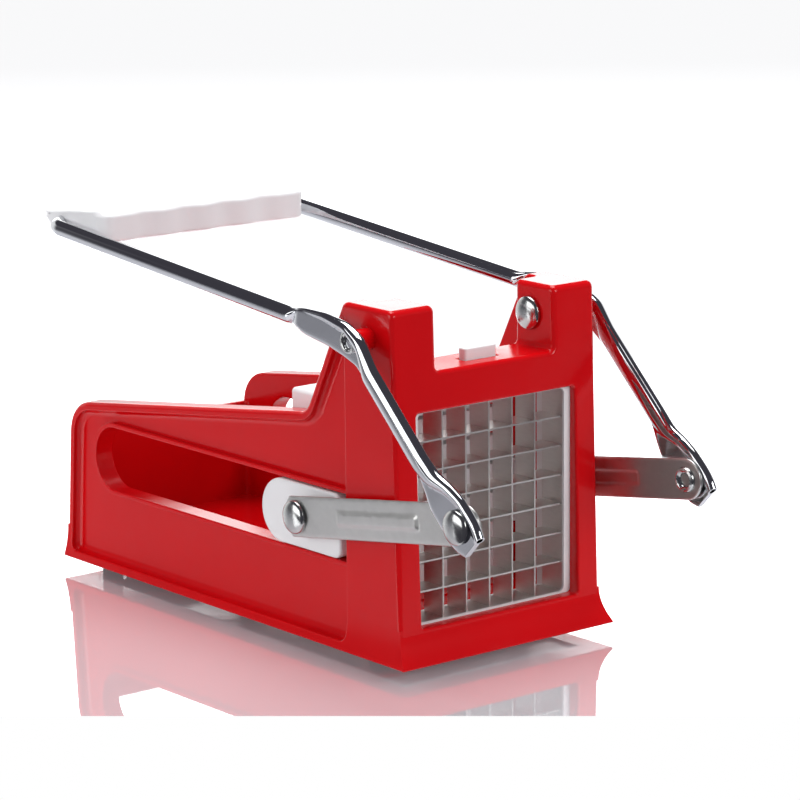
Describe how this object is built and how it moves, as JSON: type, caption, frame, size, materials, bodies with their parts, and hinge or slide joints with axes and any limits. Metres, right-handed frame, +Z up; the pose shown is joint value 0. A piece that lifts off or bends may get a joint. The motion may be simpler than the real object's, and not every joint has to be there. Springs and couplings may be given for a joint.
{
  "type": "french fry cutter",
  "caption": "Lever-operated potato chipper: a U handle draws a studded pusher along a slotted trough, and pushes a potato through a drop-out lattice of blades.",
  "frame": {"origin": "on the table, under the middle of the whole object's box, handle down", "axes": "+X to the right-hand side seen from behind the grip looking at the window's back, +Y from the cutting window to the grip, +Z up"},
  "size_m": [0.1142, 0.2668, 0.1432],
  "materials": {
    "body_plastic": "gloss moulded",
    "white_plastic": "semi-gloss moulded",
    "grip_plastic": "semi-gloss moulded",
    "chromed_steel": "bright chrome",
    "zinc_steel": "zinc plated, satin",
    "rivet_steel": "nickel plated",
    "blade_steel": "stainless strip",
    "foot_rubber": "matt"
  },
  "bodies": {
    "base": {"body": "body_plastic", "foot_front_left": "foot_rubber", "foot_front_right": "foot_rubber", "foot_rear_left": "foot_rubber", "foot_rear_right": "foot_rubber", "pivot_rivet_left": "rivet_steel", "pivot_rivet_right": "rivet_steel"},
    "cassette": {"cassette_frame": "white_plastic", "blade_band": "blade_steel", "blade_upright_1": "blade_steel", "blade_upright_2": "blade_steel", "blade_upright_3": "blade_steel", "blade_upright_4": "blade_steel", "blade_upright_5": "blade_steel", "blade_cross_1": "blade_steel", "blade_cross_2": "blade_steel", "blade_cross_3": "blade_steel", "blade_cross_4": "blade_steel", "blade_cross_5": "blade_steel", "blade_cross_6": "blade_steel"},
    "pusher": {"pusher": "white_plastic", "slide_left": "white_plastic", "slide_right": "white_plastic", "push_pin_left": "rivet_steel", "push_pin_right": "rivet_steel"},
    "link_left": {"link_left": "zinc_steel", "crank_rivet_tail_left": "rivet_steel"},
    "link_right": {"link_right": "zinc_steel", "crank_rivet_tail_right": "rivet_steel"},
    "handle": {"handle": "chromed_steel", "grip": "grip_plastic", "crank_rivet_left": "rivet_steel", "crank_rivet_right": "rivet_steel"}
  },
  "joints": [
    {"name": "handle_pivot", "type": "hinge", "parent": "base", "child": "handle", "pos_m": [0, -0.0643, 0.1176], "axis": [1, 0, 0], "range_deg": [0, 84]},
    {"name": "pusher_slide", "type": "slide", "parent": "base", "child": "pusher", "axis": [0, 1, 0], "range_m": [0, 0.1055]},
    {"name": "link_left_pivot", "type": "hinge", "parent": "pusher", "child": "link_left", "pos_m": [0, -0.0287, 0.0494], "axis": [1, 0, 0], "range_deg": [0, 5]},
    {"name": "link_right_pivot", "type": "hinge", "parent": "pusher", "child": "link_right", "pos_m": [0, -0.0287, 0.0494], "axis": [1, 0, 0], "range_deg": [0, 5]},
    {"name": "cassette_slide", "type": "slide", "parent": "base", "child": "cassette", "axis": [0, 0, -1], "range_m": [0, 0.1]}
  ],
  "couplings": [
    {"joint": "pusher_slide", "follows": "handle_pivot", "m_per_rad": 0.07166},
    {"joint": "link_left_pivot", "follows": "handle_pivot", "ratio": 0.0557},
    {"joint": "link_right_pivot", "follows": "handle_pivot", "ratio": 0.0557}
  ]
}
